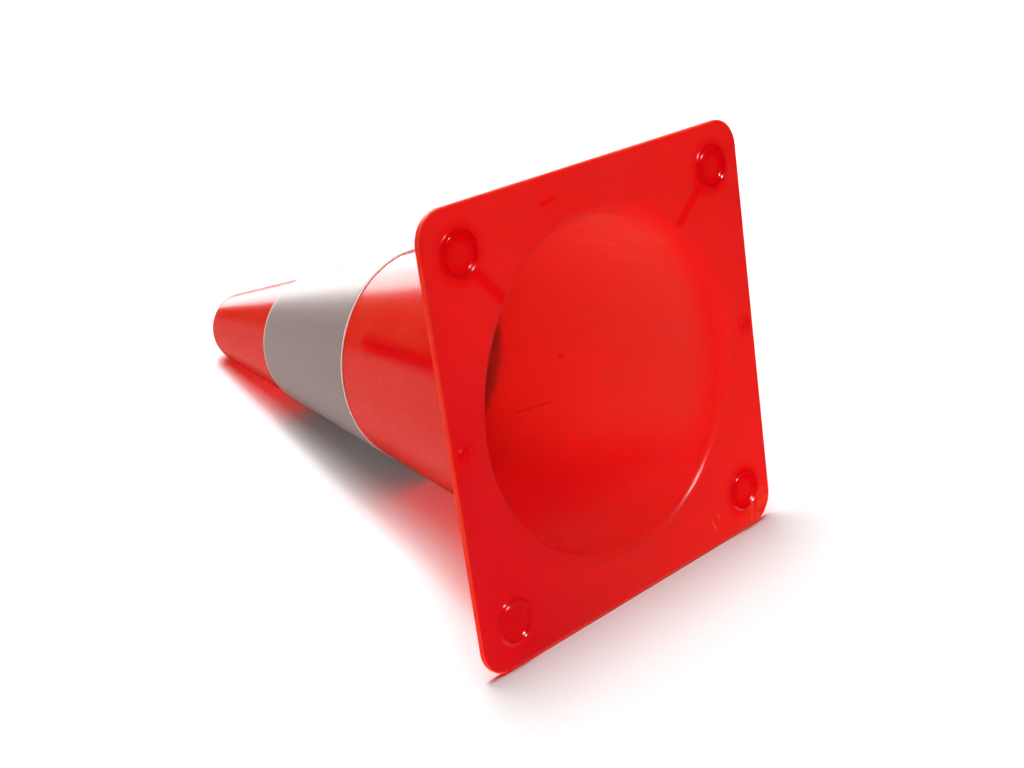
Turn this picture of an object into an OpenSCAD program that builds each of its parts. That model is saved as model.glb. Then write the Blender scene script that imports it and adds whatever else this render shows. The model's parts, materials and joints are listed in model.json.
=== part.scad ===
// Traffic cone, 300 mm: a one-piece moulded shell and base with a bonded reflective collar.
// It stands upright on four ring feet. +Z is up, and the origin is the centre of the ground it stands on.

/* [Overall] */
// Height from the ground to the tip
height = 300; // [260:5:320]
// Side of the square base
base_side = 204; // [200:1:240]
// Corner radius of the base, seen from above
corner_r = 14; // [8:1:18]
// Thickness of the base plate
plate_t = 2.4; // [2:0.1:3]

/* [Cone] */
// Outer radius of the cone, carried down to the underside of the base
cone_r = 81.6; // [78:0.2:83]
// Outer radius of the cone, carried up to a sharp top edge
top_r = 17.5; // [17.5:0.5:24]
// Thickness of the cone wall
wall_t = 2.3; // [1.8:0.1:2.6]
// Radius of the rounded shoulder at the tip
shoulder_r = 14; // [8:0.5:14]
// Thickness of the flat tip around its hole
tip_t = 3.5; // [2.5:0.1:4]
// Radius of the hole through the tip
hole_r = 6; // [3:0.5:6]
// Radius of the blend from the underside into the inside of the cone
mouth_r = 7; // [5:0.5:8]
// Radius at which the shell ends and the base plate begins
join_r = 87; // [86.5:0.1:90]

/* [Feet] */
// How far the feet hold the base off the ground
foot_h = 1.6; // [1:0.1:3]
// Distance of each foot from the middle of the base, along X and along Y
foot_pos = 81.5; // [80:0.5:84]
// Outer radius of a foot
foot_r = 11; // [9:0.5:12]
// Width of the round ridge on a foot
ridge_w = 3.6; // [2.8:0.2:5]
// Width of the flat land that touches the ground
land_w = 0.8; // [0.4:0.1:1]
// Thickness of the web inside the ridge
web_t = 0.4; // [0.3:0.1:0.8]
// Outer radius of the moulding studs beside the middle of two edges
stud_r = 3.2; // [2:0.2:4]
// Distance of each stud from the middle of the base
stud_pos = 95.5; // [94:0.5:96]
// Height of the studs
stud_h = 0.6; // [0.4:0.1:0.8]

/* [Collar] */
// Height of the collar's lower edge above the ground
collar_z = 130; // [80:1:140]
// Height of the collar, measured along Z
collar_h = 91; // [60:1:110]
// Thickness of the adhesive
adhesive_t = 0.15; // [0.1:0.05:0.3]
// Thickness of the white carrier
carrier_t = 0.3; // [0.2:0.05:0.5]
// Thickness of the reflective film
film_t = 0.25; // [0.2:0.05:0.4]
// White border left bare along each edge of the film
border = 1.4; // [0.8:0.1:3]
// Length of the strip's end that laps over its start
lap_len = 12; // [6:1:20]
// Direction of the lap's middle, from +X towards +Y
lap_dir = 50; // [0:5:355]

/* [Hidden] */
$fn = 96;
ARC_STEPS = 8;
slope = (cone_r - top_r) / (height - foot_h);
tilt = atan(slope);
plate_top = foot_h + plate_t;
outer_blend_r = mouth_r - wall_t;
ridge_mid_r = foot_r - ridge_w / 2;
carrier_in = adhesive_t;
film_in = carrier_in + carrier_t;
film_out = film_in + film_t;
lap_out = 2 * film_out;
collar_r = cone_r - slope * (collar_z + collar_h / 2 - foot_h);
lap_angle = lap_len / collar_r * 180 / PI;
plastic = "orangered";

// Radius at height z of a cone face that stands off the shell's outer face by off
function face_r(z, off = 0) = cone_r - slope * (z - foot_h) + off / cos(tilt);

// Points of an arc about [r, z], from angle a to angle b, counted from +r towards +z.
// It is part of a circle, or of an ellipse where the half height differs from the half width.
function arc(r, z, half_w, half_h, a, b) = [
    for (i = [0 : ARC_STEPS])
        let (angle = a + (b - a) * i / ARC_STEPS)
        [r + half_w * cos(angle), z + half_h * sin(angle)]
];

// Arc of radius s, to the left of a cone face that stands off by off, with its centre at height z
function arc_inside(z, s, off, a, b) = arc(face_r(z, off) - s / cos(tilt), z, s, s, a, b);

// Arc of radius s, to the right of a cone face that stands off by off, with its centre at height z
function arc_outside(z, s, off, a, b) = arc(face_r(z, off) + s / cos(tilt), z, s, s, a, b);

// Half section of the shell: up the outside, over the tip, through its hole and down the inside
module shell_section() {
    shoulder_z = height - shoulder_r;
    inner_r = shoulder_r - tip_t;
    polygon(concat(
        [[join_r, foot_h], [join_r, plate_top]],
        arc_outside(plate_top + outer_blend_r, outer_blend_r, 0, 270, 180 + tilt),
        arc_inside(shoulder_z, shoulder_r, 0, tilt, 90),
        [[hole_r, height], [hole_r, height - tip_t]],
        arc_inside(shoulder_z, inner_r, -wall_t, 90, tilt),
        arc_outside(foot_h + mouth_r, mouth_r, -wall_t, 180 + tilt, 270)
    ));
}

// Outline of the base: a square with round corners
module base_outline() {
    straight = base_side - 2 * corner_r;
    square([straight, base_side], center = true);
    square([base_side, straight], center = true);
    for (x = [-1, 1], y = [-1, 1])
        translate([x * straight / 2, y * straight / 2])
            circle(r = corner_r);
}

// Ring foot: a thin web inside a round ridge with a flat land, drawn from the ground up
module ring_foot() {
    side_w = (ridge_w - land_w) / 2;
    ridge_h = foot_h - web_t;
    rotate_extrude()
        polygon(concat(
            [[0, ridge_h]],
            arc(ridge_mid_r - land_w / 2, ridge_h, side_w, ridge_h, 180, 270),
            arc(ridge_mid_r + land_w / 2, foot_h, side_w, foot_h, 270, 360),
            [[0, foot_h]]
        ));
}

module corner_foot(x, y) {
    color(plastic)
        translate([x * foot_pos, y * foot_pos, 0])
            ring_foot();
}

// Low ring left by a mould pin beside the middle of an edge
module edge_stud(x) {
    color(plastic)
        translate([x * stud_pos, 0, foot_h - stud_h])
            difference() {
                cylinder(r = stud_r, h = stud_h);
                translate([0, 0, -stud_h / 2])
                    cylinder(r = stud_r / 2, h = stud_h);
            }
}

// Conical layer from z0 to z1, between two faces that stand off the shell's outer face
module collar_layer(z0, z1, inner, outer, angle = 360) {
    rotate_extrude(angle = angle)
        polygon([
            [face_r(z0, inner), z0], [face_r(z0, outer), z0],
            [face_r(z1, outer), z1], [face_r(z1, inner), z1]
        ]);
}

module cone_shell() {
    color(plastic)
        rotate_extrude()
            shell_section();
}

module base_plate() {
    color(plastic)
        translate([0, 0, foot_h])
            difference() {
                linear_extrude(plate_t)
                    base_outline();
                translate([0, 0, -plate_t])
                    cylinder(r = join_r, h = 3 * plate_t);
            }
}

module foot_left_front() { corner_foot(-1, -1); }
module foot_right_front() { corner_foot(1, -1); }
module foot_left_back() { corner_foot(-1, 1); }
module foot_right_back() { corner_foot(1, 1); }
module stud_left() { edge_stud(-1); }
module stud_right() { edge_stud(1); }

module collar_adhesive() {
    color("wheat")
        collar_layer(collar_z, collar_z + collar_h, 0, carrier_in);
}

module collar_carrier() {
    color("white")
        collar_layer(collar_z, collar_z + collar_h, carrier_in, film_in);
}

module reflective_film() {
    color("silver")
        collar_layer(collar_z + border, collar_z + collar_h - border, film_in, film_out);
}

// End of the strip, all three layers thick, lying on its start
module collar_lap() {
    color("silver")
        rotate([0, 0, lap_dir - lap_angle / 2])
            collar_layer(collar_z, collar_z + collar_h, film_out, lap_out, lap_angle);
}

cone_shell();
base_plate();
foot_left_front();
foot_right_front();
foot_left_back();
foot_right_back();
stud_left();
stud_right();
collar_adhesive();
collar_carrier();
reflective_film();
collar_lap();
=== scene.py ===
import json
import math

import bmesh
import bpy
from mathutils import Matrix, Vector


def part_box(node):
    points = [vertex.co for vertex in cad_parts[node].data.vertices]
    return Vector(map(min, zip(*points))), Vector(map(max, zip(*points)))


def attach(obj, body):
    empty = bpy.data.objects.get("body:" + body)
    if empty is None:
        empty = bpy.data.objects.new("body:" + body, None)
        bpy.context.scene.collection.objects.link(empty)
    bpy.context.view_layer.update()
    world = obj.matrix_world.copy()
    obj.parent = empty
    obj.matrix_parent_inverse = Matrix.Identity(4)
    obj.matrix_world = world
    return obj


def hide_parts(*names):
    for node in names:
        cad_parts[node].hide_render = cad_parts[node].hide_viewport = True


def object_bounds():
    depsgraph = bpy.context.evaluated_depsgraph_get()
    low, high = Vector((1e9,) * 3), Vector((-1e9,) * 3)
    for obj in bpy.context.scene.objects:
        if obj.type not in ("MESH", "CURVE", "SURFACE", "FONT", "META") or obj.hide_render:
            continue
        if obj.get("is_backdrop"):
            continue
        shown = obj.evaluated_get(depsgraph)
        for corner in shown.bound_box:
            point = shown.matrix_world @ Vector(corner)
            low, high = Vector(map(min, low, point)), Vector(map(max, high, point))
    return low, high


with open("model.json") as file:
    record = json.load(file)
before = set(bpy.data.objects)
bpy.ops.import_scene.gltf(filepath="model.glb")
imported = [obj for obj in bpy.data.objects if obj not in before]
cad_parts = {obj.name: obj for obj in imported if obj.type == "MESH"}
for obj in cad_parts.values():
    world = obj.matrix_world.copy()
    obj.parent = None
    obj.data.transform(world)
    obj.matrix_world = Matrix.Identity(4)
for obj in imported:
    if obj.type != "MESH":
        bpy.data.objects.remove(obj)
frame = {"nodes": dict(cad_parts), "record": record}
cad_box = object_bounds()

# ---------------------------------------------------------------------------------------------
# Sizes, in metres. The frame gives the ones that it holds; the rest belong to the moulding.
# ---------------------------------------------------------------------------------------------
MM = 0.001

shell_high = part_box("cone_shell")[1]
plate_low, plate_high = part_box("base_plate")
foot_low, foot_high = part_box("foot_left_front")
stud_low, stud_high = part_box("stud_left")
carrier_low, carrier_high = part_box("collar_carrier")
film_low, film_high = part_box("reflective_film")
lap_low, lap_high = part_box("collar_lap")

HEIGHT = shell_high.z
BASE_SIDE = plate_high.x - plate_low.x
UNDERSIDE_Z = plate_low.z
PLATE_TOP_Z = plate_high.z
FOOT_R = (foot_high.x - foot_low.x) / 2
FOOT_POS = -(foot_high.x + foot_low.x) / 2
STUD_R = (stud_high.x - stud_low.x) / 2
STUD_POS = -(stud_high.x + stud_low.x) / 2
STUD_LOW_Z = stud_low.z
COLLAR_LOW_Z = carrier_low.z
COLLAR_TOP_Z = carrier_high.z
FILM_LOW_Z = film_low.z
FILM_TOP_Z = film_high.z
TIP_HOLE_R = frame["record"]["mounts"][0]["dims"]["r_mm"] * MM

CORNER_R = 14 * MM
PLATE_EDGE_R = 0.5 * MM
CONE_R = 81.6 * MM
TOP_R = 17.5 * MM
WALL_T = 2.3 * MM
TIP_T = 3.5 * MM
SHOULDER_R = 14 * MM
MOUTH_R = 7 * MM
MOUTH_MIDDLE = 81 * MM
HOLE_EDGE_R = 0.6 * MM
FOOT_RIDGE_W = 3.6 * MM
FOOT_SIDE_W = 1.8 * MM
FOOT_WEB_T = 0.3 * MM
ADHESIVE_T = 0.15 * MM
CARRIER_T = 0.3 * MM
FILM_T = 0.25 * MM
STRIP_T = ADHESIVE_T + CARRIER_T + FILM_T
STUD_SIDE_W = 1.1 * MM
STUD_SPREAD = 0.5 * MM
DIMPLE_R = 0.62 * STUD_R
DIMPLE_SIDE_W = 0.35 * STUD_R
DIMPLE_SHARE = 0.75

# Widths of the narrow flat rings that keep the shading beside an edge or a feature clean
HOLE_MARGIN = 0.4 * MM
MOUTH_MARGIN = 0.8 * MM
RIM_MARGIN = 0.5 * MM
FOOT_MARGIN = 0.5 * MM
STUD_MARGIN = 0.4 * MM

# Radii of the collar's rounded edges
ADHESIVE_EDGE_R = 0.03 * MM
LAYER_EDGE_R = 0.1 * MM
LAP_EDGE_R = 0.15 * MM

SLOPE = (CONE_R - TOP_R) / (HEIGHT - UNDERSIDE_Z)
TILT = math.atan(SLOPE)


def face_radius(z, off=0.0):
    """Radius at height z of a cone face that stands off the shell's outer face."""
    return CONE_R - SLOPE * (z - UNDERSIDE_Z) + off / math.cos(TILT)


# ---------------------------------------------------------------------------------------------
# The floor's own axes: the cone lies on one edge of its base and on its tip
# ---------------------------------------------------------------------------------------------
SHOULDER_Z = HEIGHT - SHOULDER_R
SHOULDER_MID_R = face_radius(SHOULDER_Z) - SHOULDER_R / math.cos(TILT)
rest_edge = Vector((0, BASE_SIDE / 2, PLATE_TOP_Z))
to_shoulder = Vector((0, SHOULDER_MID_R, SHOULDER_Z)) - rest_edge
LEAN = math.atan2(-to_shoulder.y, to_shoulder.z) - math.asin(SHOULDER_R / to_shoulder.length)
SIDE = Vector((1, 0, 0))
UP = Vector((0, -math.cos(LEAN), -math.sin(LEAN)))
ALONG = Vector((0, -math.sin(LEAN), math.cos(LEAN)))


def stage_point(side, up, along):
    """A point counted from the middle of the edge that the cone rests on."""
    return rest_edge + SIDE * side + UP * up + ALONG * along


# ---------------------------------------------------------------------------------------------
# Camera
# ---------------------------------------------------------------------------------------------
def aim(obj, target, roll=0.0):
    """Turns obj so that its -Z looks at target and the floor's up is up, then rolls it."""
    forward = (target - obj.location).normalized()
    right = forward.cross(UP).normalized()
    above = right.cross(forward)
    turn = Matrix((right, above, -forward)).transposed()
    obj.rotation_mode = "QUATERNION"
    obj.rotation_quaternion = (turn @ Matrix.Rotation(roll, 3, "Z")).to_quaternion()


CAMERA_SENSOR_MM = 36
CAMERA_LENS_MM = 54.95
CAMERA_PLACE = stage_point(-487.0 * MM, 431.5 * MM, -356.0 * MM)
CAMERA_TARGET = stage_point(-65.8 * MM, 120.7 * MM, 29.2 * MM)
CAMERA_ROLL = math.radians(3.99)


def make_camera():
    data = bpy.data.cameras.new("camera")
    data.sensor_width = CAMERA_SENSOR_MM
    data.lens = CAMERA_LENS_MM
    camera = bpy.data.objects.new("camera", data)
    bpy.context.scene.collection.objects.link(camera)
    camera.location = CAMERA_PLACE
    aim(camera, CAMERA_TARGET, CAMERA_ROLL)
    bpy.context.scene.camera = camera


make_camera()

# ---------------------------------------------------------------------------------------------
# Mesh helpers
# ---------------------------------------------------------------------------------------------
def arc(r, z, radius, start, end, steps):
    """Points of an arc about (r, z), from one angle to another, counted from +r towards +z."""
    turns = [start + (end - start) * i / steps for i in range(steps + 1)]
    return [(r + radius * math.cos(a), z + radius * math.sin(a)) for a in turns]


def ring(bm, points):
    return [bm.verts.new(p) for p in points]


def bridge(bm, first, second, material=0, closed=True):
    """Quads between two rings of the same length."""
    count = len(first)
    for i in range(count if closed else count - 1):
        j = (i + 1) % count
        face = bm.faces.new((first[i], first[j], second[j], second[i]))
        face.material_index = material


def finish_mesh(bm, name, materials):
    bmesh.ops.recalc_face_normals(bm, faces=bm.faces)
    for face in bm.faces:
        face.smooth = True
    mesh = bpy.data.meshes.new(name)
    bm.to_mesh(mesh)
    bm.free()
    obj = bpy.data.objects.new(name, mesh)
    bpy.context.scene.collection.objects.link(obj)
    for material in materials:
        mesh.materials.append(material)
    return obj


# ---------------------------------------------------------------------------------------------
# Materials
# ---------------------------------------------------------------------------------------------
class Graph:
    """Short way to add nodes to a material and to link them."""

    def __init__(self, name):
        self.material = bpy.data.materials.new(name)
        self.material.use_nodes = True
        self.nodes = self.material.node_tree.nodes
        self.links = self.material.node_tree.links
        self.nodes.clear()

    def add(self, kind, inputs=None, **settings):
        node = self.nodes.new(kind)
        for key, value in settings.items():
            setattr(node, key, value)
        for key, value in (inputs or {}).items():
            socket = node.inputs[key]
            if isinstance(value, bpy.types.NodeSocket):
                self.links.new(value, socket)
            else:
                socket.default_value = value
        return node

    def math(self, operation, first, second=0.0):
        inputs = {0: first, 1: second}
        return self.add("ShaderNodeMath", inputs, operation=operation).outputs[0]

    def vector(self, operation, first, second=(0, 0, 0)):
        node = self.add("ShaderNodeVectorMath", {0: first, 1: second}, operation=operation)
        scalar = operation in ("DOT_PRODUCT", "LENGTH", "DISTANCE")
        return node.outputs["Value" if scalar else "Vector"]

    def place(self):
        """The point being shaded, in metres in the row frame."""
        return self.add("ShaderNodeTexCoord").outputs["Object"]

    def noise(self, place, size, detail=2.0, roughness=0.5):
        """Clouds whose blobs are about size metres across, from 0 to 1."""
        inputs = {"Vector": place, "Scale": 1 / size, "Detail": detail, "Roughness": roughness}
        return self.add("ShaderNodeTexNoise", inputs).outputs["Fac"]

    def fade(self, value, start, end, low=0.0, high=1.0):
        """Turns value smoothly from low at start to high at end."""
        inputs = {"Value": value, 1: start, 2: end, 3: low, 4: high}
        node = self.add("ShaderNodeMapRange", inputs, interpolation_type="SMOOTHSTEP")
        return node.outputs[0]

    def mix(self, share, first, second):
        """Colour first where share is 0, and second where it is 1."""
        node = self.add("ShaderNodeMix", {0: share, 6: first, 7: second}, data_type="RGBA")
        return node.outputs[2]

    def bump(self, height, distance, normal=None):
        inputs = {"Height": height, "Distance": distance, "Strength": 1.0}
        if normal is not None:
            inputs["Normal"] = normal
        return self.add("ShaderNodeBump", inputs).outputs[0]

    def stroke(self, place, start, end, width, soft):
        """1 along a straight stroke between two points, fading to 0 over soft at its sides."""
        way = Vector(end) - Vector(start)
        from_start = self.vector("SUBTRACT", place, start)
        dot = self.vector("DOT_PRODUCT", from_start, tuple(way / way.length_squared))
        share = self.add("ShaderNodeClamp", {"Value": dot}).outputs[0]
        scaled = self.add("ShaderNodeVectorMath", {0: tuple(way), "Scale": share}, operation="SCALE")
        away = self.vector("DISTANCE", from_start, scaled.outputs["Vector"])
        return self.fade(away, width / 2 + soft, width / 2)

    def output(self, shader):
        self.add("ShaderNodeOutputMaterial", {"Surface": shader})
        return self.material


def rgb(red, green, blue):
    return (red, green, blue, 1)


SCATTER_REACH = 10 * MM
SCATTER_BY_COLOUR = (1.0, 0.12, 0.08)

# Painted glow along the rim of the base
RIM_GLOW_ORANGE = rgb(0.95, 0.075, 0.03)
UNDER_RED = rgb(0.95, 0.022, 0.021)
UNDER_RED_PALE = rgb(0.97, 0.031, 0.028)
# Painted shade towards one corner of the underside
CORNER_SHADE_RED = rgb(0.68, 0.012, 0.020)
DEPTH_RED = rgb(0.98, 0.018, 0.028)
# Painted haze of reflected light inside the cone
HAZE_REFLECTION_RED = rgb(0.98, 0.088, 0.070)
STREAK_DEEP_RED = rgb(0.90, 0.004, 0.010)
THICK_RED = rgb(0.87, 0.003, 0.010)
MARK_DARK = rgb(0.45, 0.004, 0.012)
WORN_ORANGE = rgb(0.96, 0.085, 0.03)
SCRATCH_PALE = rgb(0.95, 0.16, 0.08)
SMEAR_PALE = rgb(0.95, 0.16, 0.07)
OUTSIDE_RED = rgb(0.95, 0.014, 0.007)
OUTSIDE_RED_PALE = rgb(0.97, 0.042, 0.022)
# Painted glints of the outside's grain
GLINT_PALE = rgb(0.97, 0.16, 0.09)
STREAK_RED = rgb(0.93, 0.006, 0.008)
LINE_DARK = rgb(0.60, 0.004, 0.006)
FILM_GREY = rgb(0.305, 0.232, 0.212)
FILM_GREY_PALE = rgb(0.36, 0.265, 0.25)
BEAD_GREY = rgb(0.36, 0.3, 0.29)
RUB_GREY = rgb(0.44, 0.38, 0.36)
CARRIER_WHITE = rgb(0.80, 0.66, 0.62)
CARRIER_SOILED = rgb(0.68, 0.48, 0.44)
ADHESIVE_PALE = rgb(0.88, 0.48, 0.42)
ADHESIVE_DUSTY = rgb(0.80, 0.36, 0.30)


def translucent_plastic(g, colour, roughness, normal, specular):
    """Moulded PVC that lets red light through its wall."""
    surface = g.add(
        "ShaderNodeBsdfPrincipled",
        {
            "Base Color": colour,
            "Roughness": roughness,
            "Normal": normal,
            "Specular IOR Level": specular,
            "Subsurface Weight": 1.0,
            "Subsurface Radius": SCATTER_BY_COLOUR,
            "Subsurface Scale": SCATTER_REACH,
        },
    )
    return g.output(surface.outputs[0])


OUTSIDE_SPECULAR = 0.5
INSIDE_SPECULAR = 0.3
FOOT_SPECULAR = 1.0


def under_point(x, y):
    """A point on the underside, from millimetres right of and behind the middle."""
    return (x * MM, y * MM, UNDERSIDE_Z)


def painted_rim_glow(g, place, colour):
    """Painted glow of light through the edge: the plastic along the rim of the base turns a little
    orange, in patches.
    """
    split = g.add("ShaderNodeSeparateXYZ", {0: g.vector("ABSOLUTE", place)})
    reach = BASE_SIDE / 2 - CORNER_R
    past = [g.math("MAXIMUM", g.math("SUBTRACT", split.outputs[i], reach), 0) for i in (0, 1)]
    squares = [g.math("POWER", value, 2) for value in past]
    from_middle = g.math("SQRT", g.math("ADD", squares[0], squares[1]))
    rim = g.fade(from_middle, CORNER_R - 1.3 * MM, CORNER_R - 0.3 * MM)
    glow_patches = g.fade(g.noise(place, 8 * MM, 4.0, 0.6), 0.3, 0.65, 0.15, 0.8)
    return g.mix(g.math("MULTIPLY", rim, glow_patches), colour, RIM_GLOW_ORANGE)


def inside_material(name, specular):
    """Glossy underside and inside, with deeper red streaks and scratches of use."""
    g = Graph(name)
    place = g.place()
    clouds = g.noise(place, 45 * MM, 3.0)
    colour = g.mix(clouds, UNDER_RED, UNDER_RED_PALE)
    split = g.add("ShaderNodeSeparateXYZ", {0: place})
    # Painted shade: the underside darkens towards the corner at low x and high y, near the table
    # top.
    towards_corner = g.math("ADD", split.outputs[0], g.math("MULTIPLY", split.outputs[1], -0.4))
    corner_shade = g.fade(towards_corner, -30 * MM, -120 * MM)
    colour = g.mix(corner_shade, colour, CORNER_SHADE_RED)
    # Painted reflection: inside the cone a pale haze of reflected light is painted into the red,
    # except on the side that it lies on.
    within = g.fade(split.outputs[2], 3 * MM, 25 * MM)
    above = g.fade(split.outputs[1], 66 * MM, 32 * MM)
    shallow = g.fade(split.outputs[2], 60 * MM, 25 * MM, 0.0, 0.25)
    painted_haze = g.mix(g.math("MAXIMUM", above, shallow), DEPTH_RED, HAZE_REFLECTION_RED)
    colour = g.mix(within, colour, painted_haze)
    # Deeper red streaks on the underside, two of them running from feet towards the mouth
    deep_streaks = (
        (under_point(-73, -71), under_point(-62, -58), 1.6 * MM, 3.5 * MM),
        (under_point(71, -73), under_point(56, -61), 1.4 * MM, 2.8 * MM),
        (under_point(-32, -90), under_point(-24, -91), 0.7 * MM, 1.2 * MM),
    )
    for start, end, width, soft in deep_streaks:
        mark = g.stroke(place, start, end, width, soft)
        colour = g.mix(mark, colour, STREAK_DEEP_RED)
    # The red is deeper at the feet and studs, where the plastic is thicker.
    across = g.math("SUBTRACT", g.math("ABSOLUTE", split.outputs[0]), FOOT_POS)
    behind = g.math("SUBTRACT", g.math("ABSOLUTE", split.outputs[1]), FOOT_POS)
    from_foot = g.math("SQRT", g.math("ADD", g.math("POWER", across, 2), g.math("POWER", behind, 2)))
    thick = g.fade(from_foot, 16 * MM, 9 * MM)
    centre = g.fade(from_foot, 7 * MM, 3 * MM, 0.0, 0.5)
    thick = g.math("SUBTRACT", thick, centre)
    thick = g.math("MULTIPLY", thick, g.fade(corner_shade, 0.0, 1.0, 1.0, 0.3))
    colour = g.mix(thick, colour, THICK_RED)
    from_stud = g.vector("DISTANCE", g.vector("ABSOLUTE", place), (STUD_POS, 0, -UNDERSIDE_Z))
    colour = g.mix(g.fade(from_stud, 8 * MM, 4 * MM, 0.0, 0.7), colour, THICK_RED)
    dark_marks = (
        ((38.3 * MM, 40.7 * MM, 110.5 * MM), (47.5 * MM, 36.0 * MM, 93.5 * MM), 0.5 * MM, 0.5 * MM),
        ((58.0 * MM, 14.2 * MM, 93.5 * MM), (58.0 * MM, 14.2 * MM, 91.5 * MM), 0.6 * MM, 1.4 * MM),
    )
    for start, end, width, soft in dark_marks:
        mark = g.stroke(place, start, end, width, soft)
        colour = g.mix(g.math("MULTIPLY", mark, 0.35), colour, MARK_DARK)
    # Worn patch at one corner
    corner = under_point(95, 100)
    near = g.fade(g.vector("DISTANCE", place, corner), 20 * MM, 6 * MM)
    grain = g.fade(g.noise(place, 3 * MM, 4.0, 0.7), 0.42, 0.62)
    worn = g.math("MULTIPLY", near, grain)
    colour = g.mix(worn, colour, WORN_ORANGE)
    scratches = (
        (under_point(55.5, 88.4), under_point(58, 94), 0.3 * MM, 0.5 * MM),
        (under_point(60, 86), under_point(61, 89), 0.2 * MM, 0.4 * MM),
        (under_point(-68, 46), under_point(-66.5, 47), 0.4 * MM, 0.4 * MM),
    )
    scratched = g.math("MULTIPLY", worn, 0.2)
    for start, end, width, soft in scratches:
        scratched = g.math("MAXIMUM", scratched, g.stroke(place, start, end, width, soft))
    colour = g.mix(g.math("MULTIPLY", scratched, 0.45), colour, SCRATCH_PALE)
    # Pale smears, drawn out along the wall
    way = Vector((21, 7, -40)).normalized()
    side = way.orthogonal().normalized()
    streaky = g.add("ShaderNodeCombineXYZ", {
        0: g.math("MULTIPLY", g.vector("DOT_PRODUCT", place, tuple(way)), 0.12),
        1: g.vector("DOT_PRODUCT", place, tuple(side)),
        2: g.vector("DOT_PRODUCT", place, tuple(way.cross(side))),
    })
    smears = g.fade(g.noise(streaky.outputs[0], 4 * MM, 3.0, 0.6), 0.45, 0.7)
    for start, end in (
        ((33 * MM, -63 * MM, 37 * MM), (56 * MM, -50 * MM, 19 * MM)),
        ((35 * MM, -58 * MM, 58 * MM), (57 * MM, -43 * MM, 38 * MM)),
    ):
        smear = g.math("MULTIPLY", g.stroke(place, start, end, 5 * MM, 7 * MM), smears)
        colour = g.mix(g.math("MULTIPLY", smear, 0.5), colour, SMEAR_PALE)
    # Painted glow along the rim of the base
    colour = painted_rim_glow(g, place, colour)
    smudges = g.noise(place, 14 * MM, 4.0, 0.6)
    gloss = g.fade(smudges, 0.35, 0.75, 0.12, 0.2)
    gloss = g.math("MINIMUM", gloss, g.fade(from_foot, 14 * MM, 17 * MM, 0.07, 0.2))
    # The edge of the mouth is rubbed a little dull.
    from_axis = g.vector("LENGTH", g.vector("MULTIPLY", place, (1, 1, 0)))
    from_mouth = g.math("ABSOLUTE", g.math("SUBTRACT", from_axis, MOUTH_MIDDLE))
    gloss = g.math("ADD", gloss, g.fade(from_mouth, 12 * MM, 2 * MM, 0.0, 0.05))
    roughness = g.math("MAXIMUM", gloss, g.math("MULTIPLY", scratched, 0.5))
    wave = g.bump(g.noise(place, 30 * MM, 1.0), 0.25 * MM)
    normal = g.bump(g.noise(place, 2.2 * MM, 3.0), 0.004 * MM, wave)
    return translucent_plastic(g, colour, roughness, normal, specular)


def outside_material():
    """Outside with the fine grain of a blasted mould and slight scuffs, with painted glints of the
    grain.
    """
    g = Graph("plastic_outside")
    place = g.place()
    clouds = g.noise(place, 30 * MM, 3.0)
    colour = g.mix(clouds, OUTSIDE_RED, OUTSIDE_RED_PALE)
    # Painted glints: pale dots where the grain catches the light
    grain_glints = g.fade(g.noise(place, 0.8 * MM, 1.0), 0.58, 0.74)
    colour = g.mix(g.math("MULTIPLY", grain_glints, 0.45), colour, GLINT_PALE)
    # Dark streak and a fine dark line along it
    streak_ends = ((-53 * MM, -25 * MM, 108 * MM), (-68 * MM, -25 * MM, 45 * MM))
    streak = g.stroke(place, *streak_ends, 3 * MM, 6 * MM)
    cloudy = g.fade(g.noise(place, 12 * MM, 3.0, 0.6), 0.2, 0.5, 0.4, 1.0)
    streak = g.math("MULTIPLY", streak, cloudy)
    colour = g.mix(streak, colour, STREAK_RED)
    line_ends = ((-52 * MM, -25 * MM, 112 * MM), (-60 * MM, -26 * MM, 78 * MM))
    line = g.stroke(place, *line_ends, 0.4 * MM, 0.8 * MM)
    colour = g.mix(g.math("MULTIPLY", line, 0.4), colour, LINE_DARK)
    # Painted glow along the rim of the base
    colour = painted_rim_glow(g, place, colour)
    roughness = g.fade(g.noise(place, 9 * MM, 4.0, 0.6), 0.3, 0.7, 0.16, 0.2)
    roughness = g.math("SUBTRACT", roughness, g.math("MULTIPLY", streak, 0.07))
    # The rim of the base is rubbed dull.
    height = g.add("ShaderNodeSeparateXYZ", {0: place}).outputs[2]
    rim = g.fade(height, PLATE_TOP_Z + 0.1 * MM, PLATE_TOP_Z)
    roughness = g.math("MAXIMUM", roughness, g.math("MULTIPLY", rim, 0.5))
    wave = g.bump(g.noise(place, 26 * MM, 1.0), 0.08 * MM)
    normal = g.bump(g.noise(place, 0.5 * MM, 1.0), 0.005 * MM, wave)
    return translucent_plastic(g, colour, roughness, normal, OUTSIDE_SPECULAR)


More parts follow.
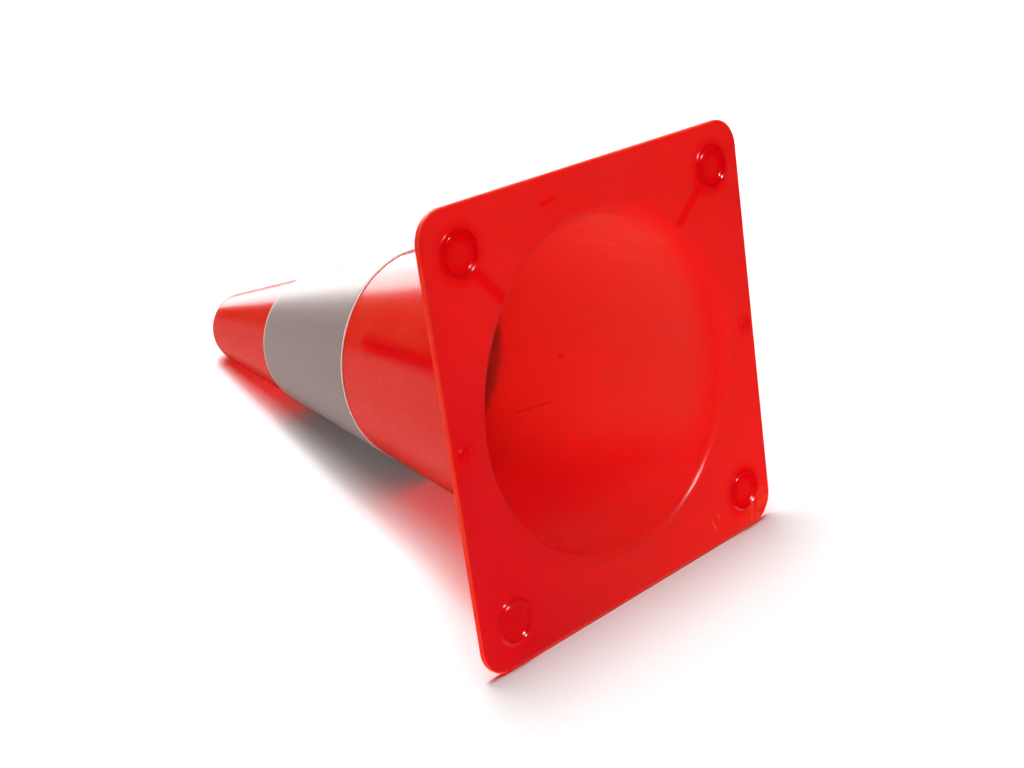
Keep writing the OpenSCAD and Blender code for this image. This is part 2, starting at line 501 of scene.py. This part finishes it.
def film_material():
    """Silver-grey film full of tiny glass beads, with fine rub marks round the collar."""
    g = Graph("film_silver")
    place = g.place()
    split = g.add("ShaderNodeSeparateXYZ", {0: place})
    turn = g.math("ARCTAN2", split.outputs[1], split.outputs[0])
    around = g.add("ShaderNodeCombineXYZ", {0: g.math("MULTIPLY", turn, 0.004), 1: split.outputs[2]})
    rubs = g.fade(g.noise(around.outputs[0], 0.5 * MM, 3.0, 0.7), 0.45, 0.8)
    clouds = g.noise(place, 16 * MM, 3.0)
    colour = g.mix(clouds, FILM_GREY, FILM_GREY_PALE)
    beads = g.noise(place, 0.3 * MM, 1.0)
    colour = g.mix(g.math("MULTIPLY", g.fade(beads, 0.5, 0.75), 0.5), colour, BEAD_GREY)
    colour = g.mix(g.math("MULTIPLY", rubs, 0.3), colour, RUB_GREY)
    roughness = g.fade(rubs, 0.0, 1.0, 0.33, 0.45)
    normal = g.bump(beads, 0.006 * MM)
    surface = g.add(
        "ShaderNodeBsdfPrincipled",
        {"Base Color": colour, "Roughness": roughness, "Normal": normal, "Specular IOR Level": 0.8},
    )
    return g.output(surface.outputs[0])


def carrier_material():
    """White cut edge and border of the collar, a little soiled."""
    g = Graph("carrier_white")
    place = g.place()
    soil = g.fade(g.noise(place, 2.5 * MM, 5.0, 0.7), 0.35, 0.75)
    colour = g.mix(soil, CARRIER_WHITE, CARRIER_SOILED)
    normal = g.bump(g.noise(place, 0.4 * MM), 0.01 * MM)
    surface = g.add(
        "ShaderNodeBsdfPrincipled",
        {"Base Color": colour, "Roughness": 0.5, "Normal": normal},
    )
    return g.output(surface.outputs[0])


def adhesive_material():
    """Edge of the clear adhesive, yellowed and dusty."""
    g = Graph("adhesive_clear")
    place = g.place()
    dust = g.noise(place, 1.2 * MM, 4.0, 0.7)
    colour = g.mix(dust, ADHESIVE_PALE, ADHESIVE_DUSTY)
    surface = g.add("ShaderNodeBsdfPrincipled", {"Base Color": colour, "Roughness": 0.45})
    return g.output(surface.outputs[0])


# ---------------------------------------------------------------------------------------------
# The moulding
# ---------------------------------------------------------------------------------------------
CORNER_STEPS = 16
SIDE_STEPS = 56
EDGE_STEPS = 5
WALL_ROWS = 60
FOOT_COLUMNS = 72
STUD_COLUMNS = 32
OUTSIDE, INSIDE, FOOT = 0, 1, 2


def base_outline(inset):
    """Rounded square, counted anticlockwise from the start of the right side."""
    reach = BASE_SIDE / 2 - CORNER_R
    radius = CORNER_R - inset
    points = []
    for quarter in range(4):
        turn = Matrix.Rotation(quarter * math.pi / 2, 2)
        for i in range(SIDE_STEPS):
            along = -reach + 2 * reach * i / SIDE_STEPS
            points.append(turn @ Vector((reach + radius, along)))
        for i in range(CORNER_STEPS):
            a = math.pi / 2 * i / CORNER_STEPS
            corner = Vector((reach + radius * math.cos(a), reach + radius * math.sin(a)))
            points.append(turn @ corner)
    return points


DIRECTIONS = [p.normalized() for p in base_outline(0)]


def level_circle(r, z):
    return [(d.x * r, d.y * r, z) for d in DIRECTIONS]


def level_outline(inset, z):
    return [(p.x, p.y, z) for p in base_outline(inset)]


def outside_profile():
    """Half section from the bottom edge of the tip hole, over the outside, to the plate."""
    inner_tip_z = HEIGHT - TIP_T
    blend_r = MOUTH_R - WALL_T
    blend_z = PLATE_TOP_Z + blend_r
    edge_r = TIP_HOLE_R + HOLE_EDGE_R
    wall_top = SHOULDER_Z + SHOULDER_R * math.sin(TILT)
    wall_low = blend_z - blend_r * math.sin(TILT)
    points = [(TIP_HOLE_R, inner_tip_z), (TIP_HOLE_R, inner_tip_z + HOLE_MARGIN)]
    points += [(TIP_HOLE_R, HEIGHT - 2 * HOLE_EDGE_R)]
    points += arc(edge_r, HEIGHT - HOLE_EDGE_R, HOLE_EDGE_R, math.pi, math.pi / 2, 5)
    points += arc(SHOULDER_MID_R, SHOULDER_Z, SHOULDER_R, math.pi / 2, TILT, 20)
    for i in range(1, WALL_ROWS):
        z = wall_top + (wall_low - wall_top) * i / WALL_ROWS
        points.append((face_radius(z), z))
    mid_r = face_radius(blend_z) + blend_r / math.cos(TILT)
    points += arc(mid_r, blend_z, blend_r, math.pi + TILT, 1.5 * math.pi, 12)
    return points


def inside_profile():
    """Half section from the underside, round the mouth and up the inside, to the tip hole."""
    mouth_z = UNDERSIDE_Z + MOUTH_R
    mid_r = face_radius(mouth_z, -WALL_T) + MOUTH_R / math.cos(TILT)
    inner_r = SHOULDER_R - TIP_T
    wall_low = mouth_z - MOUTH_R * math.sin(TILT)
    wall_top = SHOULDER_Z + inner_r * math.sin(TILT)
    points = [(mid_r + MOUTH_MARGIN, UNDERSIDE_Z)]
    points += arc(mid_r, mouth_z, MOUTH_R, 1.5 * math.pi, math.pi + TILT, 20)
    for i in range(1, WALL_ROWS):
        z = wall_low + (wall_top - wall_low) * i / WALL_ROWS
        points.append((face_radius(z, -WALL_T), z))
    shoulder_mid = face_radius(SHOULDER_Z, -WALL_T) - inner_r / math.cos(TILT)
    points += arc(shoulder_mid, SHOULDER_Z, inner_r, TILT, math.pi / 2, 16)
    return points


def smooth(t):
    t = min(1.0, max(0.0, t))
    return t * t * (3 - 2 * t)


def foot_profile():
    """Half section of a ring foot, from the underside to its middle, as (radius, drop)."""
    ridge_r = FOOT_R - FOOT_RIDGE_W / 2
    outer = ridge_r + FOOT_SIDE_W
    inner = ridge_r - FOOT_SIDE_W
    samples = 32
    points = []
    for i in range(samples + 1):
        r = outer + (inner - outer) * i / samples
        rise = 0.5 + 0.5 * math.cos(math.pi * (r - ridge_r) / FOOT_SIDE_W)
        web = FOOT_WEB_T * smooth((ridge_r + FOOT_SIDE_W / 2 - r) / FOOT_SIDE_W)
        points.append((r, web + (UNDERSIDE_Z - web) * rise))
    return points


def stud_profile():
    """Half section of a mould stud: a low ring round a shallow dimple."""
    drop = UNDERSIDE_Z - STUD_LOW_Z
    samples = 20
    outer = STUD_R + STUD_SPREAD
    points = []
    for i in range(samples):
        r = outer * (1 - i / samples)
        rise = smooth((outer - r) / STUD_SIDE_W)
        dimple = smooth((DIMPLE_R - r) / DIMPLE_SIDE_W)
        points.append((r, drop * rise * (1 - DIMPLE_SHARE * dimple)))
    return points


def add_bump(bm, centre, profile, columns, material):
    """Round feature on the underside. Returns its outermost ring, which lies in the plane."""
    rings = []
    for r, drop in profile:
        turns = [2 * math.pi * i / columns for i in range(columns)]
        rings.append(ring(bm, [
            (centre[0] + r * math.cos(a), centre[1] + r * math.sin(a), UNDERSIDE_Z - drop)
            for a in turns
        ]))
    for first, second in zip(rings, rings[1:]):
        bridge(bm, first, second, material)
    middle = bm.verts.new((centre[0], centre[1], UNDERSIDE_Z - profile[-1][1]))
    last = rings[-1]
    for i in range(columns):
        face = bm.faces.new((last[i], last[(i + 1) % columns], middle))
        face.material_index = material
    return rings[0]


def ring_edges(verts):
    """The edges that join a closed ring of verts."""
    count = len(verts)
    pairs = [(verts[i], verts[(i + 1) % count]) for i in range(count)]
    return [next(e for e in a.link_edges if e.other_vert(a) is b) for a, b in pairs]


def support_ring(bm, centre, inner_ring, r, columns):
    """Flat ring round a feature, which keeps its shading from the flat face beyond."""
    turns = [2 * math.pi * i / columns for i in range(columns)]
    outer = ring(bm, [
        (centre[0] + r * math.cos(a), centre[1] + r * math.sin(a), UNDERSIDE_Z) for a in turns
    ])
    bridge(bm, outer, inner_ring, INSIDE)
    return outer


def make_moulding(materials):
    """Whole moulding in one mesh: outside, rim, inside, feet and studs, then the flat underside."""
    bm = bmesh.new()
    outside = outside_profile()
    rings = [ring(bm, level_circle(r, z)) for r, z in outside]
    # The plate's top goes from a circle to the rounded square of its edge.
    circle = level_circle(outside[-1][0], PLATE_TOP_Z)
    edge = level_outline(PLATE_EDGE_R, PLATE_TOP_Z)
    steps = 6
    for i in range(1, steps + 1):
        t = i / steps
        rings.append(ring(bm, [Vector(c).lerp(Vector(e), t) for c, e in zip(circle, edge)]))
    for i in range(1, EDGE_STEPS + 1):
        a = math.pi / 2 * (1 - i / EDGE_STEPS)
        inset = PLATE_EDGE_R * (1 - math.cos(a))
        rings.append(ring(bm, level_outline(inset, PLATE_TOP_Z - PLATE_EDGE_R * (1 - math.sin(a)))))
    for i in range(EDGE_STEPS + 1):
        a = math.pi / 2 * i / EDGE_STEPS
        inset = PLATE_EDGE_R * (1 - math.cos(a))
        rings.append(ring(bm, level_outline(inset, UNDERSIDE_Z + PLATE_EDGE_R * (1 - math.sin(a)))))
    for first, second in zip(rings, rings[1:]):
        bridge(bm, first, second, OUTSIDE)
    under_edge = ring(bm, level_outline(PLATE_EDGE_R + RIM_MARGIN, UNDERSIDE_Z))
    bridge(bm, rings[-1], under_edge, INSIDE)

    inner = [ring(bm, level_circle(r, z)) for r, z in inside_profile()]
    for first, second in zip(inner, inner[1:]):
        bridge(bm, first, second, INSIDE)
    bridge(bm, inner[-1], rings[0], INSIDE)

    borders = [under_edge, inner[0]]
    for x in (-FOOT_POS, FOOT_POS):
        for y in (-FOOT_POS, FOOT_POS):
            profile = foot_profile()
            first = add_bump(bm, (x, y), profile, FOOT_COLUMNS, FOOT)
            outer_r = profile[0][0] + FOOT_MARGIN
            borders.append(support_ring(bm, (x, y), first, outer_r, FOOT_COLUMNS))
    for x in (-STUD_POS, STUD_POS):
        profile = stud_profile()
        first = add_bump(bm, (x, 0), profile, STUD_COLUMNS, INSIDE)
        outer_r = profile[0][0] + STUD_MARGIN
        borders.append(support_ring(bm, (x, 0), first, outer_r, STUD_COLUMNS))
    edges = [e for border in borders for e in ring_edges(border)]
    filled = bmesh.ops.triangle_fill(bm, use_beauty=True, use_dissolve=False, edges=edges)
    for item in filled["geom"]:
        if isinstance(item, bmesh.types.BMFace):
            item.material_index = INSIDE
    return finish_mesh(bm, "cone_moulding", materials)


# ---------------------------------------------------------------------------------------------
# The collar
# ---------------------------------------------------------------------------------------------
def layer_section(z_low, z_high, inner, outer, edge_r):
    """Section of a collar layer, with its two outer edges rounded, as (z, stand-off)."""
    points = [(z_low, inner)]
    for i in range(5):
        a = math.pi / 2 * i / 4
        points.append((z_low + edge_r * (1 - math.cos(a)), outer - edge_r * (1 - math.sin(a))))
    rows = 24
    for i in range(1, rows):
        points.append((z_low + edge_r + (z_high - z_low - 2 * edge_r) * i / rows, outer))
    for i in range(5):
        a = math.pi / 2 * (1 - i / 4)
        points.append((z_high - edge_r * (1 - math.cos(a)), outer - edge_r * (1 - math.sin(a))))
    points.append((z_high, inner))
    return points


def make_layer(name, z_low, z_high, inner, outer, edge_r, material):
    """Layer of the collar, all round the cone."""
    bm = bmesh.new()
    section = layer_section(z_low, z_high, inner, outer, edge_r)
    rings = [ring(bm, level_circle(face_radius(z, off), z)) for z, off in section]
    for first, second in zip(rings, rings[1:] + rings[:1]):
        bridge(bm, first, second)
    return finish_mesh(bm, name, [material])


def make_lap(name, materials):
    """End of the strip, all three layers thick, lying on its start."""
    low_side = Vector((lap_high.x, lap_low.y))
    high_side = Vector((lap_low.x, lap_high.y))
    start = math.atan2(low_side.y, low_side.x)
    end = math.atan2(high_side.y, high_side.x)
    section = layer_section(COLLAR_LOW_Z, COLLAR_TOP_Z, STRIP_T, 2 * STRIP_T, LAP_EDGE_R)
    bm = bmesh.new()
    columns = 16
    rings = []
    for i in range(columns + 1):
        a = start + (end - start) * i / columns
        rings.append(ring(bm, [
            (face_radius(z, off) * math.cos(a), face_radius(z, off) * math.sin(a), z)
            for z, off in section
        ]))
    for first, second in zip(rings, rings[1:]):
        bridge(bm, first, second)
    for end_ring in (rings[0], rings[-1]):
        face = bm.faces.new(end_ring)
        face.material_index = 1
    for face in bm.faces:
        if not FILM_LOW_Z < face.calc_center_median().z < FILM_TOP_Z:
            face.material_index = 1
    return finish_mesh(bm, name, materials)


# ---------------------------------------------------------------------------------------------
# Build
# ---------------------------------------------------------------------------------------------
outside_plastic = outside_material()
inside_plastic = inside_material("plastic_inside", INSIDE_SPECULAR)
foot_plastic = inside_material("plastic_feet", FOOT_SPECULAR)
silver = film_material()
white = carrier_material()
glue = adhesive_material()

moulding = make_moulding([outside_plastic, inside_plastic, foot_plastic])
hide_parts("cone_shell", "base_plate")
for part in sorted(frame["nodes"]):
    if part.startswith(("foot_", "stud_")):
        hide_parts(part)
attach(moulding, "root")

adhesive = make_layer(
    "adhesive_layer", COLLAR_LOW_Z, COLLAR_TOP_Z,
    0, ADHESIVE_T, ADHESIVE_EDGE_R, glue,
)
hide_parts("collar_adhesive")
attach(adhesive, "root")

carrier = make_layer(
    "white_carrier_layer", COLLAR_LOW_Z, COLLAR_TOP_Z,
    ADHESIVE_T, ADHESIVE_T + CARRIER_T, LAYER_EDGE_R, white,
)
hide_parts("collar_carrier")
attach(carrier, "root")

film = make_layer(
    "silver_film_layer", FILM_LOW_Z, FILM_TOP_Z,
    ADHESIVE_T + CARRIER_T, STRIP_T, LAYER_EDGE_R, silver,
)
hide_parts("reflective_film")
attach(film, "root")

lap = make_lap("collar_lap_end", [silver, white])
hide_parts("collar_lap")
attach(lap, "root")


# ---------------------------------------------------------------------------------------------
# Floor and light
# ---------------------------------------------------------------------------------------------
FLOOR_LEFT = -0.60
FLOOR_RIGHT = 0.80
FLOOR_FRONT = -0.30
FLOOR_BACK = 0.90
FLOOR_FADE_MIDDLE = stage_point(0, 0, 0.12)
FLOOR_FADE_START = 0.36
FLOOR_FADE_END = 0.50
FLOOR_WHITE = rgb(0.9, 0.9, 0.9)
BLACK = rgb(0, 0, 0)


def make_floor():
    """White table top. It shows only from above, fades out, and the cone mirrors a part of it."""
    g = Graph("floor_white")
    from_edge = g.vector("SUBTRACT", g.place(), tuple(rest_edge))
    along = g.vector("DOT_PRODUCT", from_edge, tuple(ALONG))
    side = g.vector("DOT_PRODUCT", from_edge, tuple(SIDE))
    # The cone mirrors a part of the floor under it, and all of it along the edge that it rests on.
    share = g.fade(side, 20 * MM, 120 * MM, 0.2, 0.6)
    beyond = g.math("MULTIPLY", g.fade(along, 30 * MM, 120 * MM), share)
    near_edge = g.fade(g.math("ABSOLUTE", g.math("ADD", along, 1 * MM)), 8 * MM, 3 * MM)
    mirrored = g.math("MAXIMUM", beyond, near_edge)
    rays = g.add("ShaderNodeLightPath").outputs["Is Glossy Ray"]
    in_mirror = g.mix(mirrored, BLACK, FLOOR_WHITE)
    surface = g.add("ShaderNodeBsdfDiffuse", {"Color": g.mix(rays, FLOOR_WHITE, in_mirror)})
    clear = g.add("ShaderNodeBsdfTransparent")
    below = g.add("ShaderNodeNewGeometry").outputs["Backfacing"]
    away = g.vector("DISTANCE", g.place(), tuple(FLOOR_FADE_MIDDLE))
    unseen = g.math("MAXIMUM", below, g.fade(away, FLOOR_FADE_START, FLOOR_FADE_END))
    both = g.add("ShaderNodeMixShader", {0: unseen, 1: surface.outputs[0], 2: clear.outputs[0]})
    g.output(both.outputs[0])
    corners = [
        stage_point(FLOOR_LEFT, 0, FLOOR_FRONT), stage_point(FLOOR_RIGHT, 0, FLOOR_FRONT),
        stage_point(FLOOR_RIGHT, 0, FLOOR_BACK), stage_point(FLOOR_LEFT, 0, FLOOR_BACK),
    ]
    mesh = bpy.data.meshes.new("floor")
    mesh.from_pydata(corners, [], [(0, 1, 2, 3)])
    mesh.materials.append(g.material)
    floor = bpy.data.objects.new("floor", mesh)
    bpy.context.scene.collection.objects.link(floor)
    floor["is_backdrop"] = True
    return floor


OBJECT_MIDDLE = stage_point(0, 0.06, 0.08)
LAMP_DISTANCE = 1.3
SHEEN_DISTANCE = 1.4
FILL_SIZE = (0.9, 0.7)
GLOW_AZIMUTH = -90
GLOW_ELEVATION = 88


def softbox(
    name, azimuth, elevation, distance, size, radiance, lit, sheen=False, target=OBJECT_MIDDLE
):
    """Area light aimed at target. Azimuth turns from the floor's side axis to its along axis.

    Sheen lamps show only in glossy reflections, and the others only in diffuse light.
    """
    a = math.radians(azimuth)
    e = math.radians(elevation)
    way = SIDE * math.cos(a) * math.cos(e) + ALONG * math.sin(a) * math.cos(e) + UP * math.sin(e)
    data = bpy.data.lights.new(name, "AREA")
    data.shape = "RECTANGLE"
    data.size = size[0]
    data.size_y = size[1]
    data.energy = radiance * math.pi * size[0] * size[1]
    lamp = bpy.data.objects.new(name, data)
    bpy.context.scene.collection.objects.link(lamp)
    lamp.location = target + way * distance
    aim(lamp, target)
    lamp.visible_camera = False
    lamp.visible_glossy = sheen
    lamp.visible_diffuse = not sheen
    lamp.visible_transmission = not sheen
    lamp.light_linking.receiver_collection = lit
    data.cycles.use_multiple_importance_sampling = sheen
    return lamp


def group(name, objects):
    """Collection for light linking only."""
    collection = bpy.data.collections.new(name)
    for obj in objects:
        collection.objects.link(obj)
    return collection


BACKDROP_STRENGTH = 1.2


def make_world():
    """White backdrop that the camera sees and that lights nothing."""
    world = bpy.data.worlds.new("studio")
    bpy.context.scene.world = world
    world.use_nodes = True
    nodes = world.node_tree.nodes
    links = world.node_tree.links
    nodes.clear()
    rays = nodes.new("ShaderNodeLightPath")
    seen = nodes.new("ShaderNodeBackground")
    seen.inputs["Color"].default_value = rgb(1, 1, 1)
    seen.inputs["Strength"].default_value = BACKDROP_STRENGTH
    unseen = nodes.new("ShaderNodeBackground")
    unseen.inputs["Strength"].default_value = 0.0
    both = nodes.new("ShaderNodeMixShader")
    out = nodes.new("ShaderNodeOutputWorld")
    links.new(rays.outputs["Is Camera Ray"], both.inputs[0])
    links.new(unseen.outputs[0], both.inputs[1])
    links.new(seen.outputs[0], both.inputs[2])
    links.new(both.outputs[0], out.inputs[0])


floor_only = group("lit_floor", [make_floor()])
cone_only = group("lit_cone", [moulding, adhesive, carrier, film, lap])
collar_only = group("opaque", [adhesive, carrier, film, lap])
make_world()

# Broad light on the cone
for azimuth, elevation, size, radiance in (
    (100, 50, FILL_SIZE, 4.5),
    (42, 20, FILL_SIZE, 3.5),
    (42, 75, FILL_SIZE, 2.9),
    (-140, 20, FILL_SIZE, 1.0),
    (160, 20, FILL_SIZE, 2.2),
    (-80, 65, FILL_SIZE, 1.8),
    (45, 14, (2.4, 1.0), 0.8),
    (-112, 12, FILL_SIZE, 1.4),
):
    softbox("fill", azimuth, elevation, LAMP_DISTANCE, size, radiance, cone_only)

# Bright panels behind the cone, and a small lamp in front of and above it, for it to mirror
for azimuth, elevation, size, radiance in (
    (78, 25, (0.62, 0.5), 16.0),
    (49, 3, (0.50, 0.5), 4.0),
    (72, 3, (0.60, 0.5), 4.1),
    (55, 22, (0.62, 0.5), 1.9),
    (-87, 49, (0.25, 0.25), 42.0),
):
    softbox("sheen", azimuth, elevation, SHEEN_DISTANCE, size, radiance, cone_only, sheen=True)

# Light on the table top. A share of the red passes through the plastic, but not the collar.
for azimuth, elevation, width, radiance, red_share in (
    (100, 72, 0.22, 40.0, 0.0),
    (100, 72, 0.60, 8.5, 0.13),
    (42, 60, 0.60, 1.5, 0.0),
    (160, 72, 0.60, 4.8, 0.72),
    (42, 72, 0.60, 2.5, 0.0),
    (70, 60, 0.60, 2.1, 0.27),
):
    size = (width, width)
    lamp = softbox("table", azimuth, elevation, LAMP_DISTANCE, size, radiance, floor_only)
    lamp.data.color = (1 - red_share, 1, 1)
    if red_share:
        lamp = softbox("through", azimuth, elevation, LAMP_DISTANCE, size, radiance, floor_only)
        lamp.data.color = (red_share, 0, 0)
        lamp.light_linking.blocker_collection = collar_only

# Two small lamps close above the table top, which nothing blocks: one lifts the shadow under the
# collar, and the other narrows the red shadow beside the base
for below, height, size, radiance, red in (
    (stage_point(-0.020, 0, 0.185), 0.07, (0.06, 0.10), 0.25, 1.0),
    (stage_point(-0.068, 0, 0.095), 0.04, (0.04, 0.06), 0.65, 0.3),
):
    glow = softbox(
        "glow", GLOW_AZIMUTH, GLOW_ELEVATION, height, size, radiance, floor_only, target=below
    )
    glow.data.color = (red, 1, 1)
    glow.data.use_shadow = False

scene = bpy.context.scene
scene.view_settings.view_transform = "Standard"
scene.cycles.diffuse_bounces = 8
scene.cycles.max_bounces = 16

size = {
    "cad": [list(corner) for corner in cad_box],
    "visual": [list(corner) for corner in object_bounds()],
}
